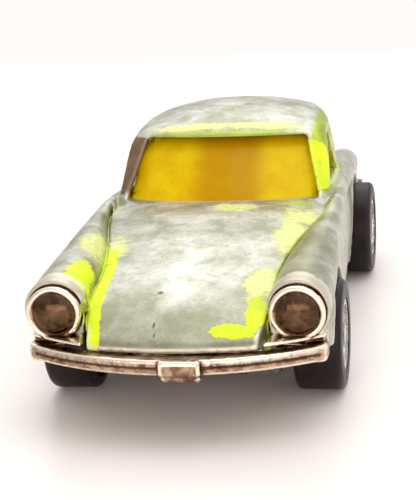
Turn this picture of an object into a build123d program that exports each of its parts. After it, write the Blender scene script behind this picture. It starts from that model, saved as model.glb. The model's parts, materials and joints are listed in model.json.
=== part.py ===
"""Die-cast pull back toy coupe, about 71 mm long, as an assembly of its real pieces.

Row frame: millimetres, +Z up, the car stands on Z = 0 with its nose towards -Y and its left side towards +X.
The origin is on the ground, under the middle of the car.
"""

import os
from math import cos, pi, radians, sin

from build123d import *

os.makedirs("parts", exist_ok=True)

# ------------------------------------------------------------------ driving dimensions
LENGTH = 71.0  # over the two bumpers
BODY_W = 28.4  # over the sides of the die-cast shell
ROOF_Z = 23.0  # crown of the roof above the ground
WHEELBASE = 39.0
WHEEL_R = 5.5
WHEEL_W = 4.8
TRACK_OUT = 29.8  # over the outer faces of the four wheels
WALL = 1.2  # die-cast wall
GLASS_T = 0.8  # clear moulding wall
GLASS_GAP = 0.08  # between the shell and the clear moulding
AXLE_R = 0.6
RUN_GAP = 0.06  # radial running clearance of a shaft
SEAT_GAP = 0.02  # radial gap of pieces that are pressed together

NOSE_Y = -LENGTH / 2
TAIL_Y = LENGTH / 2
FRONT_AXLE_Y = -WHEELBASE / 2
REAR_AXLE_Y = WHEELBASE / 2
AXLE_Z = WHEEL_R
HALF_W = BODY_W / 2
WHEEL_OUT_X = TRACK_OUT / 2
WHEEL_IN_X = WHEEL_OUT_X - WHEEL_W
LONG = LENGTH / 71.0  # stretch of the shell's stations along the car
WIDE = BODY_W / 28.4  # stretch of the shell's stations across the car

# floor of the car
BASE_Z = 1.8  # underside of the base plate
BASE_T = 1.1
BASE_TOP = BASE_Z + BASE_T
SILL_Z = 3.1  # lower edge of the shell's sides

# nose and tail in plan
BUMPER_PROUD = 1.3  # bumper ahead of the shell
PLATE_PROUD = 0.4  # number plate block ahead of the bumper
NOSE_BOW = 4.4  # how far the nose's middle stands ahead of its corners
TAIL_BOW = 3.2
TAIL_W = 25.4  # over the rear bumper
SHELL_NOSE_Y = NOSE_Y + BUMPER_PROUD + PLATE_PROUD
SHELL_TAIL_Y = TAIL_Y - BUMPER_PROUD

# front end
LIP_Z = 8.4  # lower edge of the bonnet
LAMP_X = 11.55 * WIDE
LAMP_Z = 11.4
LAMP_R = 2.65  # bezel
LAMP_RIM_R = 3.05  # shell around the bezel
LAMP_Y = NOSE_Y + 5.4 * LONG  # front edge of the shell around the lamps
LAMP_SOCKET = 2.2  # depth of the lamp's socket
LAMP_PROUD = 0.7  # bezel ahead of the shell
LENS_R = 2.15
BUMPER_Z = 6.75
BUMPER_H = 1.6
BUMPER_T = 2.0
FRONT_WALL = 1.0
TONGUE_X = 5.0  # half width of the base plate's upturned front
TONGUE_Z = 5.8  # underside of its end, under the trim
LIP_H = 0.7  # lip under the number plate
PLATE_X = 1.2  # number plate's offset to the car's left

# cabin
COWL_Y = -7.4  # foot of the windscreen at its middle, at the height of CABIN_FOOT_Z
CABIN_FOOT_Z = 12.0
CABIN_CUT_Z = ROOF_Z + 1.4
SCREEN_RAKE = 1.037  # how far the screen leans back for each mm of height
SCREEN_BOW = 2.6
CABIN_FOOT_X = 12.3 * WIDE  # half width at the windscreen's foot
CABIN_LEAN = 0.17  # how far each side leans in for each mm of height
BELT_Z = 15.2  # lower edge of the side windows
SCREEN_FOOT_Z = 15.1
WINDOW_TOP_Z = ROOF_Z - 2.3
PILLAR_FOOT = 1.4  # width of the windscreen pillar at its foot
PILLAR_HEAD = 2.1
B_PILLAR_Y = 10.6
B_PILLAR_W = 1.3
GLASS_FOOT_Z = 12.3

ARCH_GAP = 1.15  # wheel to wheel arch

# interior
TRAY_T = 0.7
TRAY_FRONT_Y = COWL_Y + 1.4
TRAY_REAR_Y = 11.6
TRAY_X = CABIN_FOOT_X - 1.3
SEAT_TOP_Z = 17.0

# wheels
HUB_R = 1.5
HUB_LEN = 1.8  # hub inboard of the tyre
DISC_R = 3.6
DISC_DEPTH = 0.8
TOWER_X = WHEEL_IN_X - HUB_LEN - 0.9  # middle of an axle tower
TOWER_T = 1.4
TOWER_W = 3.6

# fasteners
POST_R = 2.0
RIVET_R = 0.9
RIVET_HEAD_R = 1.7
RIVET_HEAD_T = 0.5
RIVET_GRIP = 3.2  # length of shank inside the post
FRONT_POST_Y = FRONT_AXLE_Y + 5.4
FRONT_POST_TOP = 13.2
REAR_POST_Y = TAIL_Y - 5.6
REAR_POST_TOP = 14.2
SCREW_R = 0.55
SCREW_HEAD_R = 1.1
SCREW_HEAD_T = 0.6
SCREW_LEN = 3.0

# pull back motor, seen from the car's left; angles are measured from +Y towards +Z
MODULE = 0.3
PINION_TEETH = 10
WHEEL_TEETH = 24
GEAR_T = 1.1
TRANSFER_ANGLE = 62.0  # from the rear axle to the transfer gear
ARBOR_ANGLE = 178.0  # from the transfer gear to the spring arbor
CENTRE_DISTANCE = MODULE * (PINION_TEETH + WHEEL_TEETH) / 2
GEAR_TIP_R = MODULE * (WHEEL_TEETH + 2) / 2
TRANSFER_Y = REAR_AXLE_Y + CENTRE_DISTANCE * cos(radians(TRANSFER_ANGLE))
TRANSFER_Z = AXLE_Z + CENTRE_DISTANCE * sin(radians(TRANSFER_ANGLE))
ARBOR_Y = TRANSFER_Y + CENTRE_DISTANCE * cos(radians(ARBOR_ANGLE))
ARBOR_Z = TRANSFER_Z + CENTRE_DISTANCE * sin(radians(ARBOR_ANGLE))
ARBOR_R = 0.8
PIN_R = 0.5
PINION_X0 = 1.9  # ends of the axle's pinion
PINION_X1 = 3.3
PINION_ROOM_R = MODULE * (PINION_TEETH + 2) / 2 + 0.12  # slot in the casing and the base under a low axle
MOTOR_WALL = 0.6
MOTOR_GAP = 0.15  # gear tips to the casing
MOTOR_LEFT_X = 4.0
MOTOR_RIGHT_X = -5.2
MOTOR_FRONT_Y = ARBOR_Y - GEAR_TIP_R - MOTOR_GAP - MOTOR_WALL
MOTOR_REAR_Y = TRANSFER_Y + GEAR_TIP_R + MOTOR_GAP + MOTOR_WALL
MOTOR_TOP_Z = ARBOR_Z + GEAR_TIP_R + MOTOR_GAP + MOTOR_WALL
SPRING_T = 0.14
SPRING_W = 3.4
SPRING_TURNS = 7
DRUM_R = GEAR_TIP_R + 0.1
DRUM_WALL = 0.5
SHELF_Z = MOTOR_TOP_Z + 0.15
SCREW_X = -2.6
SCREW_YS = (MOTOR_FRONT_Y + 1.9, MOTOR_REAR_Y - 1.9)


def save(part, name):
    """Labels a finished piece and writes its STEP file."""
    part.label = name
    export_step(part, f"parts/{name}.step")


def rod(radius, x0, x1, y, z):
    """A round rod along X."""
    with BuildPart() as bar:
        with BuildSketch(Plane.YZ.offset(x0)):
            with Locations((y, z)):
                Circle(radius)
        extrude(amount=x1 - x0)
    return bar.part


# ------------------------------------------------------------------ the shell's outer shape
# distance behind the nose, bonnet middle height, then three points of the fender:
# inner edge (x, z), crown (x, z) and widest point (x, z)
HULL_STATIONS = (
    (5.4, 11.3, 8.5, 11.0, 11.9, 14.45, 14.55, 10.6),
    (12.5, 12.9, 9.0, 12.7, 11.8, 14.5, 14.5, 10.6),
    (22.0, 14.1, 9.8, 13.9, 12.1, 14.6, 14.2, 10.3),
    (30.0, 14.9, 10.4, 14.6, 12.2, 14.6, 13.8, 10.0),
    (42.0, 14.8, 10.6, 14.5, 12.0, 14.1, 13.4, 9.8),
    (55.0, 14.2, 10.0, 13.9, 11.9, 13.8, 13.3, 9.9),
    (63.0, 13.5, 9.5, 13.3, 11.5, 13.1, 12.9, 9.4),
    (71.0, 12.0, 8.8, 11.8, 10.8, 11.6, 12.3, 8.6),
)
# distance behind the nose, bonnet middle height, bonnet edge (x, z)
NOSE_STATIONS = (
    (0.0, 9.0, 8.6, 8.8),
    (2.2, 9.8, 8.7, 9.6),
    (5.4, 11.1, 8.8, 10.8),
    (9.4, 12.1, 8.8, 11.9),
)


def main_hull(inset):
    """The car below its windows behind the lamps, moved in by inset."""
    with BuildPart() as body:
        for place, station in enumerate(HULL_STATIONS):
            along, mid_z, in_x, in_z, crown_x, crown_z, wide_x, wide_z = station
            y = NOSE_Y + along * LONG
            if place == 0 and inset > 0:
                y = y + FRONT_WALL
            wide = wide_x * WIDE - inset
            floor_z = SILL_Z - inset
            inner = (in_x * WIDE + 0.4 * inset, in_z - inset)
            crown = (crown_x * WIDE, crown_z - inset)
            with BuildSketch(Plane.XZ.offset(-y)):
                with BuildLine():
                    fender = ThreePointArc((wide, wide_z), crown, inner)
                    bonnet = ThreePointArc(fender @ 1, (0, mid_z - inset), (-inner[0], inner[1]))
                    far = ThreePointArc(bonnet @ 1, (-crown[0], crown[1]), (-wide, wide_z))
                    side = Line(far @ 1, (0.7 - wide, floor_z))
                    under = Line(side @ 1, (wide - 0.7, floor_z))
                    Line(under @ 1, fender @ 0)
                make_face()
        loft()
    tail = SHELL_TAIL_Y - inset
    tail_r = ((TAIL_W / 2) ** 2 + TAIL_BOW**2) / (2 * TAIL_BOW)
    with BuildPart() as trimmed:
        with BuildSketch():
            with Locations((0, tail - tail_r)):
                Circle(tail_r)
            with Locations((0, NOSE_Y)):
                Rectangle(BODY_W * 2, LENGTH + 10)
        extrude(amount=ROOF_Z)
        add(body.part, mode=Mode.INTERSECT)
    return trimmed.part


def nose(inset):
    """The bonnet ahead of the lamps, with a bowed front edge, moved in by inset."""
    front = SHELL_NOSE_Y + inset
    corner = front + NOSE_BOW
    floor_z = LIP_Z - inset
    with BuildPart() as block:
        for along, mid_z, edge_x, edge_z in NOSE_STATIONS:
            y = NOSE_Y + along * LONG
            half = edge_x * WIDE - inset
            with BuildSketch(Plane.XZ.offset(-y)):
                with BuildLine():
                    top = ThreePointArc((half, edge_z - inset), (0, mid_z - inset), (-half, edge_z - inset))
                    left = Line(top @ 1, (-half, floor_z - 1))
                    under = Line(left @ 1, (half, floor_z - 1))
                    Line(under @ 1, top @ 0)
                make_face()
        loft()
    with BuildPart() as trimmed:
        with BuildSketch(Plane.XY.offset(floor_z)):
            with BuildLine():
                bow = ThreePointArc((HALF_W, corner), (0, front), (-HALF_W, corner))
                left = Line(bow @ 1, (-HALF_W, 0))
                back = Line(left @ 1, (HALF_W, 0))
                Line(back @ 1, bow @ 0)
            make_face()
        extrude(amount=ROOF_Z)
        add(block.part, mode=Mode.INTERSECT)
    return trimmed.part


def cabin(inset):
    """The cabin above the waist: leaning sides, a raked and bowed windscreen, and a fastback roof."""
    roof = ROOF_Z - inset
    with BuildPart() as block:
        for z in (CABIN_FOOT_Z, CABIN_CUT_Z):
            rise = z - CABIN_FOOT_Z
            front = COWL_Y + SCREEN_RAKE * rise + 1.45 * inset
            front_x = CABIN_FOOT_X - CABIN_LEAN * rise - inset
            mid_x = front_x + 0.4
            rear_x = front_x - 3.0
            rear = TAIL_Y - 3.0 - inset
            with BuildSketch(Plane.XY.offset(z)):
                with BuildLine():
                    screen = ThreePointArc(
                        (front_x, front + SCREEN_BOW), (0, front), (-front_x, front + SCREEN_BOW)
                    )
                    far = ThreePointArc(screen @ 1, (-mid_x, B_PILLAR_Y + 1), (-rear_x, rear - 2.4))
                    back = ThreePointArc(far @ 1, (0, rear), (rear_x, rear - 2.4))
                    ThreePointArc(back @ 1, (mid_x, B_PILLAR_Y + 1), screen @ 0)
                make_face()
        loft(ruled=True)
    with BuildPart() as side_view:
        with BuildSketch(Plane.YZ):
            with BuildLine():
                crown = Spline(
                    (COWL_Y - 4.0, roof - 6.2),
                    (3.0, roof - 2.05),
                    (8.0, roof - 0.6),
                    (13.0, roof),
                    (19.0, roof - 0.75),
                    (25.0, roof - 3.4),
                    (TAIL_Y - 5.5, roof - 6.9),
                    (TAIL_Y, roof - 10.6),
                )
                down = Line(crown @ 1, (TAIL_Y, 5))
                under = Line(down @ 1, (COWL_Y - 4.0, 5))
                Line(under @ 1, crown @ 0)
            make_face()
        extrude(amount=BODY_W, both=True)
    shoulder = 10.7 * WIDE - inset
    skirt = 15.5 * WIDE - inset
    with BuildPart() as section:
        with BuildSketch(Plane.XZ) as outline:
            with BuildLine():
                arch = ThreePointArc((shoulder, roof - 2.1), (0, roof), (-shoulder, roof - 2.1))
                down = Line(arch @ 1, (-skirt, 5))
                under = Line(down @ 1, (skirt, 5))
                Line(under @ 1, arch @ 0)
            make_face()
            fillet(outline.vertices().group_by(Axis.Y)[-1], 2.2)
        extrude(amount=LENGTH, both=True)
    with BuildPart() as shaped:
        add(block.part)
        add(side_view.part, mode=Mode.INTERSECT)
        add(section.part, mode=Mode.INTERSECT)
    return shaped.part


# ------------------------------------------------------------------ body_shell
# the base plate's upturned front, and how high it reaches under the shell's front wall
tongue_root = FRONT_AXLE_Y - TOWER_W / 2
tongue_end = LAMP_Y - 0.6
tongue_slope = (TONGUE_Z + BASE_T - BASE_TOP) / (tongue_root - tongue_end)
tongue_top = TONGUE_Z + BASE_T - tongue_slope * (LAMP_Y - tongue_end)
front_cut_z = max(BUMPER_Z - 0.1, tongue_top + 0.005)
with BuildPart() as body_shell:
    add(main_hull(0))
    add(nose(0))
    add(cabin(0))
    # hollow inside
    add(main_hull(WALL), mode=Mode.SUBTRACT)
    add(nose(WALL), mode=Mode.SUBTRACT)
    add(cabin(WALL), mode=Mode.SUBTRACT)
    # lamp sockets
    for side in (-1, 1):
        with BuildSketch(Plane.XZ.offset(-LAMP_Y)):
            with Locations((side * LAMP_X, LAMP_Z)):
                Circle(LAMP_RIM_R)
        extrude(amount=-(LAMP_SOCKET + FRONT_WALL))
        with BuildSketch(Plane.XZ.offset(-LAMP_Y - LAMP_SOCKET)):
            with Locations((side * LAMP_X, LAMP_Z)):
                Circle(LAMP_R + SEAT_GAP)
        extrude(amount=LAMP_SOCKET * 2, mode=Mode.SUBTRACT)
    # wheel arches
    for axle_y in (FRONT_AXLE_Y, REAR_AXLE_Y):
        for side in (-1, 1):
            with BuildSketch(Plane.YZ.offset(side * (WHEEL_IN_X - ARCH_GAP))):
                with Locations((axle_y, AXLE_Z)):
                    Circle(WHEEL_R + ARCH_GAP)
            extrude(amount=side * WHEEL_W * 2, mode=Mode.SUBTRACT)
    # windscreen
    with BuildSketch(Plane.XZ.offset(6.0 - COWL_Y)) as screen_hole:
        foot_x = CABIN_FOOT_X - CABIN_LEAN * (SCREEN_FOOT_Z - CABIN_FOOT_Z) - PILLAR_FOOT
        head_x = CABIN_FOOT_X - CABIN_LEAN * (WINDOW_TOP_Z - CABIN_FOOT_Z) - PILLAR_HEAD
        with BuildLine():
            Polyline(
                (-foot_x, SCREEN_FOOT_Z),
                (foot_x, SCREEN_FOOT_Z),
                (head_x, WINDOW_TOP_Z),
                (-head_x, WINDOW_TOP_Z),
                close=True,
            )
        make_face()
        fillet(screen_hole.vertices(), 0.7)
    extrude(amount=-21.0, mode=Mode.SUBTRACT)
    # side windows, before and behind the door pillar
    with BuildSketch(Plane.YZ.offset(-BODY_W)) as side_holes:
        with BuildLine():
            Polyline(
                (0.9, BELT_Z),
                (B_PILLAR_Y - B_PILLAR_W / 2, BELT_Z),
                (B_PILLAR_Y - B_PILLAR_W / 2, WINDOW_TOP_Z - 0.4),
                (5.6, WINDOW_TOP_Z - 0.7),
                close=True,
            )
        make_face()
        with BuildLine():
            Polyline(
                (B_PILLAR_Y + B_PILLAR_W / 2, BELT_Z),
                (B_PILLAR_Y + 9.0, BELT_Z),
                (B_PILLAR_Y + 6.4, WINDOW_TOP_Z - 1.2),
                (B_PILLAR_Y + B_PILLAR_W / 2, WINDOW_TOP_Z - 0.4),
                close=True,
            )
        make_face()
        fillet(side_holes.vertices(), 0.6)
    extrude(amount=BODY_W * 2, mode=Mode.SUBTRACT)
    # rear window, cut from above
    with BuildSketch(Plane.XY.offset(ROOF_Z + 1)) as rear_hole:
        with BuildLine():
            Polyline((-6.2, 20.0), (6.2, 20.0), (6.6, 27.0), (-6.6, 27.0), close=True)
        make_face()
        fillet(rear_hole.vertices(), 1.2)
    extrude(amount=-(ROOF_Z - BELT_Z + 1), mode=Mode.SUBTRACT)
    # door shut lines
    for side in (-1, 1):
        for line_y in (-1.8, 10.9):
            with Locations((side * HALF_W, line_y, 8.4)):
                Box(2.4, 0.3, 8.0, mode=Mode.SUBTRACT)
    # nothing of the shell hangs below the front bumper, and its ends are let into the fenders
    with Locations((0, (LAMP_Y + FRONT_AXLE_Y) / 2 - 2.0, (front_cut_z - 0.1) / 2)):
        Box(2 * BODY_W, FRONT_AXLE_Y - LAMP_Y, front_cut_z + 0.1, mode=Mode.SUBTRACT)
    for side in (-1, 1):
        with Locations((side * HALF_W, NOSE_Y + PLATE_PROUD + NOSE_BOW, BUMPER_Z + BUMPER_H / 2)):
            Box(6.2, 2 * BUMPER_T + 0.12, BUMPER_H + 0.12, mode=Mode.SUBTRACT)
    # holes for the rear bumper's pins
    with BuildSketch(Plane.XZ.offset(-TAIL_Y)):
        with Locations((-6, BUMPER_Z + BUMPER_H / 2), (6, BUMPER_Z + BUMPER_H / 2)):
            Circle(0.6 + SEAT_GAP)
    extrude(amount=BUMPER_PROUD + TAIL_BOW + WALL, mode=Mode.SUBTRACT)
    # two posts that carry the rivets
    for post_y, top_z in ((FRONT_POST_Y, FRONT_POST_TOP), (REAR_POST_Y, REAR_POST_TOP)):
        with BuildSketch(Plane.XY.offset(BASE_TOP)):
            with Locations((0, post_y)):
                Circle(POST_R)
                Circle(RIVET_R + SEAT_GAP, mode=Mode.SUBTRACT)
        extrude(amount=RIVET_GRIP + 0.4)
        with BuildSketch(Plane.XY.offset(BASE_TOP + RIVET_GRIP + 0.4)):
            with Locations((0, post_y)):
                Circle(POST_R)
        extrude(amount=top_z - BASE_TOP - RIVET_GRIP - 0.4)
save(body_shell.part, "body_shell")

# ------------------------------------------------------------------ window_glazing
with BuildPart() as window_glazing:
    add(cabin(WALL + GLASS_GAP))
    add(cabin(WALL + GLASS_GAP + GLASS_T), mode=Mode.SUBTRACT)
    with Locations((0, 0, GLASS_FOOT_Z / 2)):
        Box(BODY_W * 2, LENGTH * 2, GLASS_FOOT_Z, mode=Mode.SUBTRACT)
    with Locations((0, TAIL_Y, ROOF_Z / 2)):
        Box(BODY_W * 2, 15.6, ROOF_Z * 2, mode=Mode.SUBTRACT)
save(window_glazing.part, "window_glazing")

# ------------------------------------------------------------------ interior_tray
tray_len = TRAY_REAR_Y - TRAY_FRONT_Y
tray_mid = (TRAY_REAR_Y + TRAY_FRONT_Y) / 2
tray_h = GLASS_FOOT_Z - BASE_TOP
shelf_len = MOTOR_REAR_Y - TRAY_REAR_Y
with BuildPart() as interior_tray:
    with Locations((0, tray_mid, BASE_TOP + tray_h / 2)):
        Box(2 * TRAY_X, tray_len, tray_h)
    with Locations((0, tray_mid, BASE_TOP + TRAY_T + tray_h / 2)):
        Box(2 * (TRAY_X - TRAY_T), tray_len - 2 * TRAY_T, tray_h, mode=Mode.SUBTRACT)
    # dashboard
    with Locations((0, TRAY_FRONT_Y + 1.9, GLASS_FOOT_Z - 1.5)):
        Box(2 * TRAY_X - TRAY_T, 3.0, 3.0)
    # two front seats
    for seat_x in (-4.7, 4.7):
        with BuildSketch(Plane.YZ.offset(seat_x - 3.4)) as seat:
            with BuildLine():
                Polyline(
                    (1.4, BASE_TOP),
                    (1.4, 8.4),
                    (6.9, 7.6),
                    (8.4, SEAT_TOP_Z - 0.3),
                    (9.6, SEAT_TOP_Z),
                    (9.9, SEAT_TOP_Z - 1.0),
                    (9.4, BASE_TOP),
                    close=True,
                )
            make_face()
            fillet(seat.vertices().group_by(Axis.Y)[-1], 0.4)
        extrude(amount=6.8)
    # bulkhead and parcel shelf over the motor
    with Locations((0, TRAY_REAR_Y - TRAY_T / 2, (BASE_TOP + SHELF_Z + TRAY_T) / 2)):
        Box(13.2, TRAY_T, SHELF_Z + TRAY_T - BASE_TOP)
    with Locations((0, TRAY_REAR_Y - TRAY_T + (shelf_len + TRAY_T) / 2, SHELF_Z + TRAY_T / 2)):
        Box(13.2, shelf_len + TRAY_T, TRAY_T)
    # steering wheel and its column
    with BuildPart(Plane((4.7, -0.4, 12.2), x_dir=(1, 0, 0), z_dir=(0, 0.85, 0.53))) as steering:
        Torus(1.7, 0.24)
        Cylinder(0.42, 0.3)
        Box(3.4, 0.4, 0.2)
        with Locations((0, 0, -1.7)):
            Cylinder(0.3, 3.4)
save(interior_tray.part, "interior_tray")

# ------------------------------------------------------------------ front_trim
with BuildPart() as lens:
    with BuildSketch(Plane.XZ.offset(LAMP_PROUD - LAMP_Y)):
        Circle(LENS_R)
    extrude(amount=-2.0)
    with Locations((0, LAMP_Y - LAMP_PROUD + 0.1 + 3.1, 0)):
        Sphere(3.1, mode=Mode.INTERSECT)
with BuildPart() as front_trim:
    # bumper bar
    bar_y = NOSE_Y + PLATE_PROUD
    with BuildSketch(Plane.XY.offset(BUMPER_Z)) as bar:
        with BuildLine():
            outer = ThreePointArc((HALF_W, bar_y + NOSE_BOW), (0, bar_y), (-HALF_W, bar_y + NOSE_BOW))
            end = Line(outer @ 1, (-HALF_W, bar_y + NOSE_BOW + BUMPER_T))
            inner = ThreePointArc(
                end @ 1, (0, bar_y + BUMPER_T), (HALF_W, bar_y + NOSE_BOW + BUMPER_T)
            )
            Line(inner @ 1, outer @ 0)
        make_face()
        fillet(bar.vertices(), 0.5)
    extrude(amount=BUMPER_H)
    # number plate block and the lip under it
    with Locations((PLATE_X, NOSE_Y + 0.7, BUMPER_Z + BUMPER_H / 2)):
        Box(4.0, 1.4, BUMPER_H - 0.3)
    with Locations((PLATE_X, bar_y + 1.0, BUMPER_Z - LIP_H / 2 + 0.05)):
        Box(3.8, 1.6, LIP_H + 0.1)
    # closing wall between the bonnet's lip and the base plate's upturned front, with two stays
    wall_foot = TONGUE_Z + BASE_T
    with Locations((0, LAMP_Y - 1.1, (wall_foot + LIP_Z - 0.1) / 2)):
        Box(16.4 * WIDE, 1.0, LIP_Z - 0.1 - wall_foot)
    for stay_x in (-4, 4):
        with Locations((stay_x, (bar_y + LAMP_Y) / 2, BUMPER_Z + BUMPER_H / 2)):
            Box(1.0, LAMP_Y - bar_y - 1.6, BUMPER_H - 0.4)
    # headlamps and their brackets
    for side in (-1, 1):
        with BuildSketch(Plane.XZ.offset(-LAMP_Y - LAMP_SOCKET)):
            with Locations((side * LAMP_X, LAMP_Z)):
                Circle(LAMP_R)
        extrude(amount=LAMP_SOCKET + LAMP_PROUD)
        with BuildSketch(Plane.XZ.offset(LAMP_PROUD - LAMP_Y)):
            with Locations((side * LAMP_X, LAMP_Z)):
                Circle(LENS_R)
        extrude(amount=-1.2, mode=Mode.SUBTRACT)
        add(lens.part.moved(Location((side * LAMP_X, 0, LAMP_Z))))
        with Locations((side * LAMP_X, LAMP_Y - LAMP_PROUD / 2 - 0.03, (BUMPER_Z + BUMPER_H + LAMP_Z) / 2 - 0.8)):
            Box(4.4, LAMP_PROUD - 0.06, LAMP_Z - BUMPER_Z - BUMPER_H - 1.0)
    # the lens stays clear of the bracket
    for side in (-1, 1):
        with BuildSketch(Plane.XZ.offset(LAMP_PROUD - LAMP_Y)):
            with Locations((side * LAMP_X, LAMP_Z)):
                Circle(LENS_R)
        extrude(amount=-0.08, mode=Mode.SUBTRACT)
save(front_trim.part, "front_trim")

# ------------------------------------------------------------------ rear_bumper
tail_x = TAIL_W / 2
with BuildPart() as rear_bumper:
    with BuildSketch(Plane.XY.offset(BUMPER_Z)):
        with BuildLine():
            outer = ThreePointArc((tail_x, TAIL_Y - TAIL_BOW), (0, TAIL_Y), (-tail_x, TAIL_Y - TAIL_BOW))
            end = Line(outer @ 1, (-tail_x, SHELL_TAIL_Y - TAIL_BOW))
            inner = ThreePointArc(end @ 1, (0, SHELL_TAIL_Y), (tail_x, SHELL_TAIL_Y - TAIL_BOW))
            Line(inner @ 1, outer @ 0)
        make_face()
    extrude(amount=BUMPER_H)
    with BuildSketch(Plane.XZ.offset(-TAIL_Y + 1.0)):
        with Locations((-6, BUMPER_Z + BUMPER_H / 2), (6, BUMPER_Z + BUMPER_H / 2)):
            Circle(0.6)
    extrude(amount=BUMPER_PROUD + WALL)
save(rear_bumper.part, "rear_bumper")

# ------------------------------------------------------------------ base_plate
arch_y = WHEEL_R + ARCH_GAP
tail_in = SHELL_TAIL_Y - WALL - 0.3
mid_len = WHEELBASE - 2 * arch_y - 0.6
with BuildPart() as base_plate:
    with BuildSketch(Plane.XY.offset(BASE_Z)) as floor:
        with Locations((0, (tongue_root + tail_in - 1.5) / 2)):
            Rectangle(2 * (TOWER_X + TOWER_T / 2 + 0.3), tail_in - 1.5 - tongue_root)
        with Locations((0, (FRONT_AXLE_Y + tail_in - 1.5) / 2)):
            Rectangle(2 * (WHEEL_IN_X - 0.9), tail_in - 1.5 - FRONT_AXLE_Y)
        Rectangle(2 * (HALF_W - 2.0), mid_len)
    extrude(amount=BASE_T)
    # the front turns up to carry the trim
    with BuildSketch(Plane.YZ.offset(-TONGUE_X)):
        with BuildLine():
            Polyline(
                (tongue_root + 0.5, BASE_Z),
                (tongue_root + 0.5, BASE_TOP),
                (tongue_root, BASE_TOP),
                (tongue_end, TONGUE_Z + BASE_T),
                (tongue_end - 1.1, TONGUE_Z + BASE_T),
                (tongue_end - 1.1, TONGUE_Z),
                (tongue_end, TONGUE_Z),
                (tongue_root, BASE_Z),
                close=True,
            )
        make_face()
    extrude(amount=2 * TONGUE_X)
    # axle towers
    for axle_y in (FRONT_AXLE_Y, REAR_AXLE_Y):
        for side in (-1, 1):
            with BuildSketch(Plane.YZ.offset(side * TOWER_X - TOWER_T / 2)):
                with Locations((axle_y, AXLE_Z)):
                    Circle(TOWER_W / 2)
                with Locations((axle_y, (BASE_Z + 0.5 + AXLE_Z) / 2)):
                    Rectangle(TOWER_W, AXLE_Z - BASE_Z - 0.5)
            extrude(amount=TOWER_T)
            with BuildSketch(Plane.YZ.offset(side * TOWER_X - TOWER_T / 2)):
                with Locations((axle_y, AXLE_Z)):
                    Circle(AXLE_R + RUN_GAP)
            extrude(amount=TOWER_T, mode=Mode.SUBTRACT)
    # rivet and screw holes
    for rivet_y in (FRONT_POST_Y, REAR_POST_Y):
        with BuildSketch(Plane.XY.offset(BASE_Z)):
            with Locations((0, rivet_y)):
                Circle(RIVET_HEAD_R + 0.1)
        extrude(amount=RIVET_HEAD_T + 0.1, mode=Mode.SUBTRACT)
        with BuildSketch(Plane.XY.offset(BASE_Z)):
            with Locations((0, rivet_y)):
                Circle(RIVET_R + SEAT_GAP)
        extrude(amount=BASE_T, mode=Mode.SUBTRACT)
    for screw_y in SCREW_YS:
        with BuildSketch(Plane.XY.offset(BASE_Z)):
            with Locations((SCREW_X, screw_y)):
                Circle(SCREW_HEAD_R + 0.1)
        extrude(amount=SCREW_HEAD_T + 0.1, mode=Mode.SUBTRACT)
        with BuildSketch(Plane.XY.offset(BASE_Z)):
            with Locations((SCREW_X, screw_y)):
                Circle(SCREW_R + SEAT_GAP)
        extrude(amount=BASE_T, mode=Mode.SUBTRACT)
    # shallow pressed panels on the underside
    for panel_y in (-9.5, -4.0, 1.5):
        with Locations((0, panel_y, BASE_Z + 0.15)):
            Box(15.0, 3.2, 0.3, mode=Mode.SUBTRACT)
    add(rod(PINION_ROOM_R, PINION_X0 - 0.2, PINION_X1 + 0.2, REAR_AXLE_Y, AXLE_Z), mode=Mode.SUBTRACT)
save(base_plate.part, "base_plate")

# ------------------------------------------------------------------ base_rivets
with BuildPart() as base_rivets:
    for rivet_y in (FRONT_POST_Y, REAR_POST_Y):
        with BuildSketch(Plane.XY.offset(BASE_Z + 0.1)):
            with Locations((0, rivet_y)):
                Circle(RIVET_HEAD_R)
        extrude(amount=RIVET_HEAD_T)
        with BuildSketch(Plane.XY.offset(BASE_Z + 0.1)):
            with Locations((0, rivet_y)):
                Circle(RIVET_R)
        extrude(amount=BASE_T - 0.1 + RIVET_GRIP)
save(base_rivets.part, "base_rivets")

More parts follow.
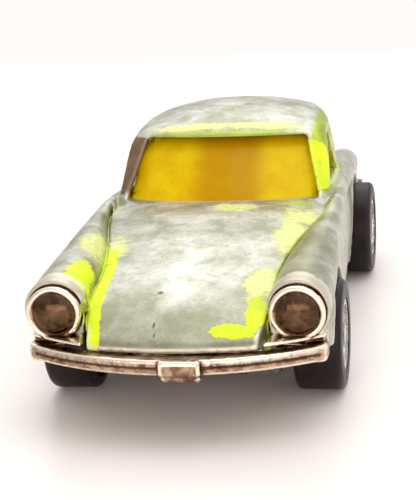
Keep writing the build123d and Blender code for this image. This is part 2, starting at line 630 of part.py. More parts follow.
# ------------------------------------------------------------------ wheels, wheel discs and axles
for end_name, axle_y in (("front", FRONT_AXLE_Y), ("rear", REAR_AXLE_Y)):
    save(rod(AXLE_R, 0.9 - WHEEL_OUT_X, WHEEL_OUT_X - 0.9, axle_y, AXLE_Z), f"{end_name}_axle")
    for side, side_name in ((1, "left"), (-1, "right")):
        with BuildPart() as wheel:
            with BuildSketch(Plane.YZ.offset(side * WHEEL_IN_X)):
                with Locations((axle_y, AXLE_Z)):
                    Circle(WHEEL_R)
            extrude(amount=side * WHEEL_W)
            fillet(wheel.edges().filter_by(GeomType.CIRCLE), 0.6)
            with BuildSketch(Plane.YZ.offset(side * WHEEL_IN_X)):
                with Locations((axle_y, AXLE_Z)):
                    Circle(WHEEL_R - 1.1)
            extrude(amount=side * (WHEEL_W - 2.2), mode=Mode.SUBTRACT)
            with BuildSketch(Plane.YZ.offset(side * (WHEEL_IN_X - HUB_LEN))):
                with Locations((axle_y, AXLE_Z)):
                    Circle(HUB_R)
            extrude(amount=side * (HUB_LEN + WHEEL_W - 1.2))
            with BuildSketch(Plane.YZ.offset(side * WHEEL_OUT_X)):
                with Locations((axle_y, AXLE_Z)):
                    Circle(DISC_R + SEAT_GAP)
            extrude(amount=-side * DISC_DEPTH, mode=Mode.SUBTRACT)
            with BuildSketch(Plane.YZ.offset(side * (WHEEL_IN_X - HUB_LEN))):
                with Locations((axle_y, AXLE_Z)):
                    Circle(AXLE_R + SEAT_GAP)
            extrude(amount=side * (HUB_LEN + WHEEL_W), mode=Mode.SUBTRACT)
        save(wheel.part, f"{end_name}_wheel_{side_name}")
        disc_x = WHEEL_OUT_X - DISC_DEPTH
        with BuildPart() as disc:
            with BuildSketch(Plane.YZ.offset(side * disc_x)):
                with Locations((axle_y, AXLE_Z)):
                    Circle(DISC_R)
            extrude(amount=side * (DISC_DEPTH - 0.1))
            with BuildSketch(Plane.YZ.offset(side * (disc_x + 0.35))):
                with Locations((axle_y, AXLE_Z)):
                    Circle(DISC_R - 0.7)
                    Circle(0.95, mode=Mode.SUBTRACT)
            extrude(amount=side * DISC_DEPTH, mode=Mode.SUBTRACT)
            with BuildSketch(Plane.YZ.offset(side * disc_x)):
                for spoke in range(8):
                    turn = 2 * pi * spoke / 8
                    with Locations((axle_y + 1.9 * cos(turn), AXLE_Z + 1.9 * sin(turn))):
                        Circle(0.42)
            extrude(amount=side * DISC_DEPTH, mode=Mode.SUBTRACT)
        save(disc.part, f"{end_name}_disc_{side_name}")


# ------------------------------------------------------------------ pull back motor
def gear(teeth, y, z, phase, x0, x1):
    """A spur gear along X; phase is the direction of one tooth's middle, in degrees."""
    pitch_r = MODULE * teeth / 2
    points = []
    for tooth in range(teeth):
        middle = radians(phase) + 2 * pi * tooth / teeth
        for radius, width in (
            (pitch_r - 1.25 * MODULE, -0.50),
            (pitch_r, -0.42),
            (pitch_r + MODULE, -0.20),
            (pitch_r + MODULE, 0.20),
            (pitch_r, 0.42),
            (pitch_r - 1.25 * MODULE, 0.50),
        ):
            angle = middle + width * pi * MODULE / 2 / pitch_r
            points.append((y + radius * cos(angle), z + radius * sin(angle)))
    with BuildPart() as toothed:
        with BuildSketch(Plane.YZ.offset(x0)):
            with BuildLine():
                Polyline(*points, close=True)
            make_face()
        extrude(amount=x1 - x0)
    return toothed.part


def casing(inset, x0, x1):
    """The motor's outline along X, moved in by inset."""
    with BuildPart() as block:
        with BuildSketch(Plane.YZ.offset(x0)):
            with Locations(((MOTOR_FRONT_Y + MOTOR_REAR_Y) / 2, (BASE_TOP + MOTOR_TOP_Z) / 2)):
                RectangleRounded(
                    MOTOR_REAR_Y - MOTOR_FRONT_Y - 2 * inset,
                    MOTOR_TOP_Z - BASE_TOP - 2 * inset,
                    1.6 - inset,
                )
        extrude(amount=x1 - x0)
    return block.part


mesh_phase = 180 + 180 / WHEEL_TEETH
with BuildPart() as axle_pinion:
    add(gear(PINION_TEETH, REAR_AXLE_Y, AXLE_Z, TRANSFER_ANGLE, PINION_X0, PINION_X1))
    add(rod(AXLE_R + SEAT_GAP, 1, 4, REAR_AXLE_Y, AXLE_Z), mode=Mode.SUBTRACT)
save(axle_pinion.part, "axle_pinion")

with BuildPart() as transfer_gear:
    add(gear(WHEEL_TEETH, TRANSFER_Y, TRANSFER_Z, TRANSFER_ANGLE + mesh_phase, 2.05, 2.05 + GEAR_T))
    add(gear(PINION_TEETH, TRANSFER_Y, TRANSFER_Z, ARBOR_ANGLE, 0.3, 2.05))
    add(rod(PIN_R + RUN_GAP, 0, 4, TRANSFER_Y, TRANSFER_Z), mode=Mode.SUBTRACT)
save(transfer_gear.part, "transfer_gear")

with BuildPart() as arbor_gear:
    add(gear(WHEEL_TEETH, ARBOR_Y, ARBOR_Z, ARBOR_ANGLE + mesh_phase, 0.6, 0.6 + GEAR_T))
    add(rod(ARBOR_R + SEAT_GAP, 0, 4, ARBOR_Y, ARBOR_Z), mode=Mode.SUBTRACT)
    with BuildSketch(Plane.YZ):
        for hole in range(5):
            turn = 2 * pi * hole / 5
            with Locations((ARBOR_Y + 2.2 * cos(turn), ARBOR_Z + 2.2 * sin(turn))):
                Circle(0.65)
    extrude(amount=4, mode=Mode.SUBTRACT)
save(arbor_gear.part, "arbor_gear")

save(rod(ARBOR_R, MOTOR_RIGHT_X + 0.1, MOTOR_LEFT_X - 0.1, ARBOR_Y, ARBOR_Z), "spring_arbor")
save(rod(PIN_R, -2.0, MOTOR_LEFT_X, TRANSFER_Y, TRANSFER_Z), "transfer_pin")

drum_floor_x = MOTOR_RIGHT_X + MOTOR_WALL
with BuildPart() as motor_case:
    add(casing(0, 0, MOTOR_LEFT_X))
    add(casing(MOTOR_WALL, -1, MOTOR_LEFT_X - MOTOR_WALL), mode=Mode.SUBTRACT)
    add(rod(AXLE_R + RUN_GAP, -1, MOTOR_LEFT_X + 1, REAR_AXLE_Y, AXLE_Z), mode=Mode.SUBTRACT)
    add(rod(PINION_ROOM_R, PINION_X0 - 0.1, PINION_X1 + 0.05, REAR_AXLE_Y, AXLE_Z), mode=Mode.SUBTRACT)
    add(rod(ARBOR_R + RUN_GAP, -1, MOTOR_LEFT_X + 1, ARBOR_Y, ARBOR_Z), mode=Mode.SUBTRACT)
    add(rod(PIN_R + SEAT_GAP, -1, MOTOR_LEFT_X + 1, TRANSFER_Y, TRANSFER_Z), mode=Mode.SUBTRACT)
save(motor_case.part, "motor_case")

with BuildPart() as motor_cover:
    add(casing(0, MOTOR_RIGHT_X, 0))
    add(casing(MOTOR_WALL, drum_floor_x, 1), mode=Mode.SUBTRACT)
    add(rod(DRUM_R + DRUM_WALL, drum_floor_x, 0, ARBOR_Y, ARBOR_Z))
    add(rod(AXLE_R + DRUM_WALL, drum_floor_x, 0, REAR_AXLE_Y, AXLE_Z))
    add(rod(PIN_R + DRUM_WALL, drum_floor_x, 0, TRANSFER_Y, TRANSFER_Z))
    for screw_y in SCREW_YS:
        with BuildSketch(Plane.XY.offset(BASE_TOP)):
            with Locations((SCREW_X, screw_y)):
                Circle(SCREW_R + 0.7)
        extrude(amount=SCREW_LEN + 0.8)
    add(rod(DRUM_R, drum_floor_x, 1, ARBOR_Y, ARBOR_Z), mode=Mode.SUBTRACT)
    add(rod(ARBOR_R + RUN_GAP, MOTOR_RIGHT_X - 1, 1, ARBOR_Y, ARBOR_Z), mode=Mode.SUBTRACT)
    add(rod(AXLE_R + RUN_GAP, MOTOR_RIGHT_X - 1, 1, REAR_AXLE_Y, AXLE_Z), mode=Mode.SUBTRACT)
    add(rod(PIN_R + SEAT_GAP, -2.2, 1, TRANSFER_Y, TRANSFER_Z), mode=Mode.SUBTRACT)
    for screw_y in SCREW_YS:
        with BuildSketch(Plane.XY.offset(BASE_TOP)):
            with Locations((SCREW_X, screw_y)):
                Circle(SCREW_R + SEAT_GAP)
        extrude(amount=SCREW_LEN + 0.2, mode=Mode.SUBTRACT)
    # slot that holds the spring's outer end
    with Locations((drum_floor_x + 2.0, ARBOR_Y, ARBOR_Z + DRUM_R)):
        Box(4.0, 0.34, 0.6, mode=Mode.SUBTRACT)
save(motor_cover.part, "motor_cover")

with BuildPart() as mainspring:
    inner_points = []
    outer_points = []
    steps = SPRING_TURNS * 10
    spring_start_r = ARBOR_R + 0.3
    spring_end_r = DRUM_R - 0.25
    for step in range(steps + 1):
        part_way = step / steps
        turn = pi / 2 + 2 * pi * SPRING_TURNS * part_way
        radius = spring_start_r + (spring_end_r - spring_start_r) * part_way
        inner_points.append(
            (ARBOR_Y + (radius - SPRING_T / 2) * cos(turn), ARBOR_Z + (radius - SPRING_T / 2) * sin(turn))
        )
        outer_points.append(
            (ARBOR_Y + (radius + SPRING_T / 2) * cos(turn), ARBOR_Z + (radius + SPRING_T / 2) * sin(turn))
        )
    with BuildSketch(Plane.YZ.offset(drum_floor_x + 0.2)):
        with BuildLine():
            spiral_in = Spline(*inner_points)
            spiral_out = Spline(*outer_points)
            Line(spiral_in @ 0, spiral_out @ 0)
            Line(spiral_in @ 1, spiral_out @ 1)
        make_face()
        with Locations((ARBOR_Y, ARBOR_Z + DRUM_R - 0.06)):
            Rectangle(0.3, 0.5)
    extrude(amount=SPRING_W)
save(mainspring.part, "mainspring")

with BuildPart() as motor_screws:
    for screw_y in SCREW_YS:
        with BuildSketch(Plane.XY.offset(BASE_Z + 0.1)):
            with Locations((SCREW_X, screw_y)):
                Circle(SCREW_HEAD_R)
        extrude(amount=SCREW_HEAD_T)
        with BuildSketch(Plane.XY.offset(BASE_Z + 0.1)):
            with Locations((SCREW_X, screw_y)):
                Circle(SCREW_R)
        extrude(amount=BASE_T - 0.1 + SCREW_LEN)
        with Locations((SCREW_X, screw_y, BASE_Z + 0.2)):
            Box(1.4, 0.3, 0.3, mode=Mode.SUBTRACT)
            Box(0.3, 1.4, 0.3, mode=Mode.SUBTRACT)
save(motor_screws.part, "motor_screws")
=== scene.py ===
"""Looks of the die-cast pull back coupe: worn zinc with remains of lime enamel, amber windows and plating.

Sizes inside the shape functions are millimetres in the row frame: nose towards -Y, the car's left towards +X.
The body, the glazing and the front trim are distance fields on a grid, turned into meshes.
"""

import json
import math

import bpy
import numpy as np
import openvdb
from mathutils import Matrix, Vector


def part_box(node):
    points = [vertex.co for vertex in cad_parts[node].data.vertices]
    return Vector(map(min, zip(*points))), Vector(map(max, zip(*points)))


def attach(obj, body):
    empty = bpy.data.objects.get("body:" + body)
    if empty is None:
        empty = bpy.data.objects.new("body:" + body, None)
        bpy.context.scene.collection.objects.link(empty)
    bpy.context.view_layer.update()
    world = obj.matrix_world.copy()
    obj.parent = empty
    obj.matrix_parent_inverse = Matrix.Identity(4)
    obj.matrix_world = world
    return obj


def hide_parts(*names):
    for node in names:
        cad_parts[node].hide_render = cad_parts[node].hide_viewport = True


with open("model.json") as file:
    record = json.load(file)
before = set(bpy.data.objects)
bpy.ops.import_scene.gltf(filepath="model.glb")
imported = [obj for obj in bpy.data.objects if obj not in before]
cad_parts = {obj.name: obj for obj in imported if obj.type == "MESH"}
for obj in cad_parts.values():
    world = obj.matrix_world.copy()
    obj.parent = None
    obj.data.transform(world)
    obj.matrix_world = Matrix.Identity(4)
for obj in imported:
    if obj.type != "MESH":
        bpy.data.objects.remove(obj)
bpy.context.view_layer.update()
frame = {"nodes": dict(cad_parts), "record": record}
MM = 0.001


# ------------------------------------------------------------------ places read from the frame
def node_box(name):
    """Lowest and highest corner of a CAD node, in millimetres."""
    low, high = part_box(name)
    return np.array(low) / MM, np.array(high) / MM


wheel_low, wheel_high = node_box("front_wheel_left")
axle_low, axle_high = node_box("front_axle")
rear_low, rear_high = node_box("rear_axle")
shell_low, shell_high = node_box("body_shell")
trim_low, trim_high = node_box("front_trim")
tail_low, tail_high = node_box("rear_bumper")
FRONT_AXLE_Y = (axle_low[1] + axle_high[1]) / 2
REAR_AXLE_Y = (rear_low[1] + rear_high[1]) / 2
AXLE_Z = (axle_low[2] + axle_high[2]) / 2
WHEEL_R = (wheel_high[2] - wheel_low[2]) / 2
NOSE_Y = trim_low[1]
TAIL_Y = tail_high[1]
ROOF_Z = shell_high[2]
SILL_Z = shell_low[2]
BUMPER_Z = tail_low[2]
BUMPER_TOP = tail_high[2]
ARCH_R = WHEEL_R + 1.15
ARCH_X = 8.95  # inner end of the wheels' room
LAMP_X = 11.55
LAMP_Z = 11.4
LAMP_Y = NOSE_Y + 5.4
BAR_Y = NOSE_Y + 0.4  # front of the bumper bar
LIP_Z = BUMPER_TOP + 0.08  # lower edge of the bonnet
WALL = 1.1
GLASS_GAP = 0.08
GLASS_T = 0.8


# ------------------------------------------------------------------ distance fields
def curve(points):
    """A smooth function through (place, value) points, level beyond its ends."""
    px = np.array([p[0] for p in points], float)
    py = np.array([p[1] for p in points], float)
    slope = np.gradient(py, px)

    def value(v):
        v = np.clip(v, px[0], px[-1])
        i = np.clip(np.searchsorted(px, v) - 1, 0, len(px) - 2)
        gap = px[i + 1] - px[i]
        t = (v - px[i]) / gap
        a, b = py[i], py[i + 1]
        sa, sb = slope[i] * gap, slope[i + 1] * gap
        rise = t * t * (3 - 2 * t)
        return a + (b - a) * rise + (t - 1) ** 2 * t * sa + t * t * (t - 1) * sb

    return value


def union(a, b, k=0.0):
    """Union of two fields, with a blend about k wide."""
    if k == 0:
        return np.minimum(a, b)
    h = np.clip(0.5 + 0.5 * (b - a) / k, 0, 1)
    return b + (a - b) * h - k * h * (1 - h)


def common(a, b, k=0.0):
    """Intersection of two fields, with a rounded edge about k wide."""
    return -union(-a, -b, k)


def cut(a, b, k=0.0):
    """Field a without field b."""
    return common(a, -b, k)


def between(v, low, high):
    """Field of the slab low < v < high."""
    return np.abs(v - (low + high) / 2) - (high - low) / 2


def block(x, y, z, low, high, k=0.0):
    """Field of a box with rounded edges."""
    field = between(x, low[0], high[0])
    field = common(field, between(y, low[1], high[1]), k)
    return common(field, between(z, low[2], high[2]), k)


def polygon(u, v, corners, k):
    """Field of a convex polygon given counter-clockwise, with corners rounded by k."""
    field = None
    for i, (u0, v0) in enumerate(corners):
        u1, v1 = corners[(i + 1) % len(corners)]
        length = math.hypot(u1 - u0, v1 - v0)
        side = ((v1 - v0) * (u - u0) - (u1 - u0) * (v - v0)) / length
        field = side if field is None else common(field, side, k)
    return field


class Grid:
    """A regular grid of points; fields are worked out on its x, y and z and turned into a mesh."""

    def __init__(self, low, high, step):
        self.low = np.array(low, float)
        self.step = step
        self.counts = np.ceil((np.array(high) - self.low) / step).astype(int) + 1
        axes = [self.low[i] + step * np.arange(self.counts[i]) for i in range(3)]
        self.x = axes[0][:, None, None]
        self.y = axes[1][None, :, None]
        self.z = axes[2][None, None, :]

    def sample(self, field, points):
        """The field at points, by linear interpolation."""
        g = (points - self.low) / self.step
        base = np.clip(np.floor(g).astype(int), 0, self.counts - 2)
        t = g - base
        total = 0.0
        for dx in (0, 1):
            for dy in (0, 1):
                for dz in (0, 1):
                    w = np.abs(1 - dx - t[:, 0]) * np.abs(1 - dy - t[:, 1]) * np.abs(1 - dz - t[:, 2])
                    total = total + w * field[base[:, 0] + dx, base[:, 1] + dy, base[:, 2] + dz]
        return total

    def around(self, field, points, reach):
        """The field at points moved by reach both ways along each axis: array of 3 x 2 x points."""
        moves = np.eye(3) * reach
        return np.array([[self.sample(field, points - m), self.sample(field, points + m)] for m in moves])

    def mesh(self, name, field, adaptivity, hollow_reach=0.45):
        """A mesh object of the field's zero surface, with normals and a bend value from the field, used for
        edge wear and for painted shade in hollows.
        """
        field = np.ascontiguousarray(np.broadcast_to(field, self.counts), np.float32)
        volume = openvdb.FloatGrid(1.0)
        volume.copyFromArray(field)
        points, tris, quads = volume.convertToPolygons(isovalue=0.0, adaptivity=adaptivity)
        points = np.asarray(points, float) * self.step + self.low
        faces = [tuple(int(i) for i in face) for face in (*quads, *tris)]
        data = bpy.data.meshes.new(name)
        data.from_pydata((points * MM).tolist(), [], faces)
        near = self.around(field, points, self.step * 0.75)
        normals = (near[:, 1] - near[:, 0]).T
        normals /= np.maximum(np.linalg.norm(normals, axis=1, keepdims=True), 1e-9)
        data.polygons.foreach_set("use_smooth", [True] * len(data.polygons))
        data.normals_split_custom_set_from_vertices(normals.tolist())
        far = self.around(field, points, hollow_reach)
        bend = data.attributes.new("bend", "FLOAT", "POINT")
        bend.data.foreach_set("value", (far.sum(axis=(0, 1)) / hollow_reach).astype(np.float32))
        obj = bpy.data.objects.new(name, data)
        bpy.context.scene.collection.objects.link(obj)
        print(name, "faces", len(data.polygons))
        return obj


# ------------------------------------------------------------------ the shell's surfaces
bonnet_z = curve(
    [(-35, 8.7), (-33.5, 9.3), (-31, 10.6), (-27, 12.0), (-20, 13.5), (-12, 14.6), (-5, 15.1), (4, 15.2),
     (14, 14.8), (24, 14.0), (30, 13.2), (34, 12.2), (36, 11.4)]
)
bonnet_x = curve(
    [(-35, 7.9), (-32, 8.3), (-29, 8.75), (-20, 9.1), (-14, 10.1), (-8, 11.4), (-4, 12.0), (2, 12.3)]
)
side_x = curve(
    [(-31, 14.1), (-22, 14.35), (-14, 14.1), (-6, 13.7), (2, 13.3), (10, 12.9), (20, 12.7), (28, 12.3),
     (35, 11.4)]
)
fender_x = curve([(-31, 11.55), (-20, 11.75), (-14, 12.1), (-8, 12.5), (-3, 12.6), (4, 12.3), (12, 11.8),
                  (20, 11.0), (28, 10.7), (35, 9.9)])
fender_r = curve([(-31, 3.05), (-20, 2.6), (-14, 1.9), (-8, 1.1), (-3, 0.8), (4, 0.9), (12, 1.2), (20, 1.8),
                  (28, 1.8), (35, 1.6)])
fender_z = curve([(-31, 14.45), (-24, 14.75), (-14, 15.0), (-8, 15.05), (-3, 15.1), (4, 14.8), (12, 14.4),
                  (20, 14.2), (28, 13.5), (35, 12.1)])
roof_z = curve([(-8, 17.6), (-2, 20.1), (3.2, 21.6), (8, 22.6), (13, 22.98), (19, 22.3), (25, 19.9),
                (30, 16.9), (36, 12.4)])
roof_drop = curve([(2, 0.75), (8, 1.3), (14, 1.9), (30, 2.2)])


def side_profile(y, z):
    """Half width of the body below its waist, with lips around the wheel arches."""
    w = side_x(y) - 0.013 * np.clip(9.4 - z, 0, None) ** 2 - 0.035 * np.clip(z - 9.8, 0, None) ** 2
    for axle_y in (FRONT_AXLE_Y, REAR_AXLE_Y):
        r = np.sqrt((y - axle_y) ** 2 + (z - AXLE_Z) ** 2)
        lip = np.clip(1 - (r - ARCH_R) / 0.9, 0, 1)
        w = w + 0.22 * lip * lip * (3 - 2 * lip)
    return w


def body_field(x, y, z):
    """The car without its windows, arches or floor."""
    ax = np.abs(x)
    panel = (z - bonnet_z(y) + 0.6 * (ax / 9) ** 2) * 0.97
    hull = common(ax - side_profile(y, z), panel, 1.2)
    fender = np.sqrt((ax - fender_x(y)) ** 2 + (z - fender_z(y) + fender_r(y)) ** 2) - fender_r(y)
    hull = common(union(hull, fender, 0.35), LAMP_Y - y + 0 * ax, 0.3)
    # the bonnet ahead of the lamps, bowed in plan
    bow = (NOSE_Y + 1.9 + 2.9 * (ax / 14.2) ** 2 - y) * 0.97
    nose = common(common(panel, bow, 0.7), ax - bonnet_x(y), 0.4)
    nose = common(common(nose, LIP_Z - z, 0.3), y - LAMP_Y - 3.0)
    hull = union(hull, nose, 0.15)
    # tail, bowed in plan and leaning forward
    tail = (y - (TAIL_Y - 1.3) + 3.2 * (ax / 12.7) ** 2 + 0.14 * np.clip(z - 8, 0, None)) * 0.95
    hull = common(hull, tail, 1.2)
    # crease beside the bonnet
    hull = cut(hull, common(common(np.abs(ax - bonnet_x(y)) - 0.13, -hull - 0.3), y + 3.2), 0.12)
    return union(hull, cabin_field(x, y, z), 0.4)


def cabin_field(x, y, z):
    """The greenhouse: raked and bowed windscreen, leaning sides, domed roof, fastback."""
    ax = np.abs(x)
    rise = z - 12
    screen = (-7.4 + 1.13 * rise + (2.6 - 0.12 * rise) * (ax / 11.6) ** 2 - y) * 0.66
    side = (ax - 12.55 + 0.17 * rise + 0.0042 * (y - 7) ** 2 + 0.008 * np.clip(y - 6, 0, None) ** 2) * 0.97
    roof = (z - roof_z(y) + roof_drop(y) * (ax / 11) ** 2.4) * 0.93
    back = (y - (TAIL_Y - 3.0) + 1.8 * (ax / 9) ** 2) * 0.95
    field = common(common(side, roof, 1.3), screen, 0.5)
    field = common(field, back, 1.5)
    return common(field, 11.0 - z)


def window_field(x, y, z):
    """Openings of the windscreen, the side windows and the rear window."""
    ax = np.abs(x)
    screen = polygon(ax, z, [(-20, 14.95), (10.75, 14.85), (9.0, 20.75), (-20, 20.85)], 0.4)
    screen = common(screen, y - 8)
    front = polygon(y, z, [(0.9, 15.5), (9.9, 15.5), (9.9, 20.5), (5.4, 20.1)], 0.5)
    rear = polygon(y, z, [(11.2, 15.5), (20.0, 15.5), (16.6, 19.4), (11.2, 20.5)], 0.5)
    sides = common(union(front, rear), 8.2 - ax)
    back = common(polygon(ax, y, [(-20, 19.8), (6.6, 19.8), (7.1, 27.6), (-20, 27.6)], 1.0), 15.4 - z)
    return union(union(screen, sides), back)


def arch_field(x, y, z):
    """Room for the four wheels."""
    field = None
    for axle_y in (FRONT_AXLE_Y, REAR_AXLE_Y):
        hole = np.sqrt((y - axle_y) ** 2 + (z - AXLE_Z) ** 2) - ARCH_R
        field = hole if field is None else union(field, hole)
    return common(field, ARCH_X - np.abs(x))


def shut_line_field(x, y, z, outer):
    """Shallow lines engraved around the doors."""
    ax = np.abs(x)
    front_edge = -1.6 - 0.3 * np.clip(12.5 - z, 0, 3) - 0.05 * np.clip(9.5 - z, 0, None) ** 2
    line = union(np.abs(y - front_edge), np.abs(y - 10.9)) - 0.16
    line = common(common(line, between(z, 4.6, 14.6)), 11.5 - ax)
    foot = common(common(np.abs(z - 4.6) - 0.16, between(y, -4.5, 10.9)), 11.5 - ax)
    return common(union(line, foot), -outer - 0.28)


def make_shell():
    """The visible die-cast casting."""
    grid = Grid((-15.2, NOSE_Y - 0.4, 2.4), (15.2, TAIL_Y + 0.4, ROOF_Z + 0.6), 0.16)
    x, y, z = grid.x, grid.y, grid.z
    ax = np.abs(x)
    outer = body_field(x, y, z)
    shell = cut(outer, outer + WALL)
    shell = cut(shell, shut_line_field(x, y, z, outer), 0.08)
    shell = cut(shell, window_field(x, y, z), 0.2)
    shell = cut(shell, arch_field(x, y, z), 0.2)
    shell = common(shell, SILL_Z - z, 0.2)
    # lamp sockets, the dark slots beside the bonnet, and the room behind the bumper
    socket = np.sqrt((ax - LAMP_X) ** 2 + (z - LAMP_Z) ** 2)
    shell = cut(shell, common(socket - 2.67, y - LAMP_Y - 2.0), 0.2)
    slot = common(common(bonnet_x(y) + 0.1 - ax, ax - LAMP_X), common(3.4 - socket, z - LAMP_Z + 0.2))
    shell = cut(shell, common(slot, y - LAMP_Y - 4.5), 0.1)
    under = common(common(z - 9.0, y - LAMP_Y - 1.3), bonnet_x(y) + 0.2 - ax)
    shell = cut(shell, under, 0.2)
    front_drop = common(z - BUMPER_Z, y - FRONT_AXLE_Y + 2.0)
    shell = cut(shell, front_drop, 0.2)
    return grid.mesh("shell", shell, 0.2)


def make_glazing():
    """The amber moulding behind all the windows."""
    grid = Grid((-12.6, -6.5, 12.0), (12.6, TAIL_Y - 7, ROOF_Z), 0.2)
    cabin = cabin_field(grid.x, grid.y, grid.z)
    glass = cut(cabin + WALL + GLASS_GAP, cabin + WALL + GLASS_GAP + GLASS_T)
    glass = common(glass, 12.4 - grid.z)
    return grid.mesh("glazing", common(glass, grid.y - (TAIL_Y - 7.8)), 0.3)


def make_trim():
    """Bumper, number plate, lamp shelves and the two lamps, one plated moulding."""
    grid = Grid((-14.6, NOSE_Y - 0.4, 5.6), (14.6, LAMP_Y + 2.6, 14.6), 0.11)
    x, y, z = grid.x, grid.y, grid.z
    ax = np.abs(x)
    bow_r = (14.2**2 + 4.4**2) / (2 * 4.4)
    out = np.sqrt(x**2 + (y - BAR_Y - bow_r) ** 2) - bow_r  # distance outside the bar's front face
    low, top = BUMPER_Z + 0.05, BUMPER_TOP
    middle = (low + top) / 2
    face = out + 0.16 * np.clip((middle - z) / 0.2, 0, 1)
    bar = common(common(face, -out - 1.7, 0.3), between(z, low, top), 0.3)
    bar = cut(bar, np.sqrt((out + 0.02) ** 2 + (z - middle) ** 2) - 0.14, 0.1)
    bar = common(bar, ax - 14.15, 0.5)
    ends = block(ax, y, z, (12.9, LAMP_Y - 0.8, low), (14.15, LAMP_Y + 1.6, top), 0.4)
    trim = union(bar, ends, 0.3)
    plate = block(x, y, z, (-0.8, NOSE_Y, low + 0.12), (3.1, NOSE_Y + 2, top + 0.02), 0.25)
    lip = np.sqrt(((y - NOSE_Y - 1.4) / 1.3) ** 2 + ((z - low - 0.15) / 0.95) ** 2) - 1
    lip = common(lip, z - low - 0.1, 0.2)
    lip = common(lip * 0.9, np.abs(x - 1.2) - 1.9 + 0.5 * np.clip(low - z, 0, None) ** 2, 0.3)
    trim = union(union(trim, plate, 0.1), lip, 0.12)
    # stays and the closing wall behind the bar
    wall = block(ax, y, z, (-1, LAMP_Y - 1.5, BUMPER_Z + 0.1), (8.3, LAMP_Y - 0.6, top - 0.1), 0.1)
    stay = block(ax, y, z, (3.5, BAR_Y + 1.2, BUMPER_Z + 0.4), (4.5, LAMP_Y - 1, top - 0.3), 0.1)
    trim = union(trim, union(wall, stay), 0.1)
    # shelf under each lamp, over a recess
    shelf = common(common(out + 0.75, y - LAMP_Y - 1.1), between(z, 8.85, 9.2), 0.15)
    shelf = common(shelf, between(ax, bonnet_x(y) + 0.35, 14.05), 0.2)
    back = block(ax, y, z, (9.2, LAMP_Y + 0.2, top - 0.3), (13.9, LAMP_Y + 0.9, 9.1), 0.1)
    trim = union(trim, union(shelf, back), 0.1)
    # lamps: cup, bezel ring and a ball-like dome
    r = np.sqrt((ax - LAMP_X) ** 2 + (z - LAMP_Z) ** 2)
    cup = common(common(r - 2.62, 2.2 - r), between(y, LAMP_Y - 0.5, LAMP_Y + 2.0), 0.1)
    ring = np.sqrt((r - 2.34) ** 2 + (y - LAMP_Y + 0.5) ** 2) - 0.31
    dome = (np.sqrt((r / 2.2) ** 2 + ((y - LAMP_Y + 0.1) / 1.35) ** 2) - 1) * 1.35
    dome = common(dome, y - LAMP_Y - 1.6)
    trim = union(trim, union(union(cup, ring, 0.08), dome, 0.05), 0.08)
    return grid.mesh("plated_front", trim, 0.12, 0.3)


shell = make_shell()
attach(shell, "car")
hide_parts("body_shell")
glazing = make_glazing()
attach(glazing, "car")
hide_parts("window_glazing")
plated = make_trim()
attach(plated, "car")
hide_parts("front_trim")


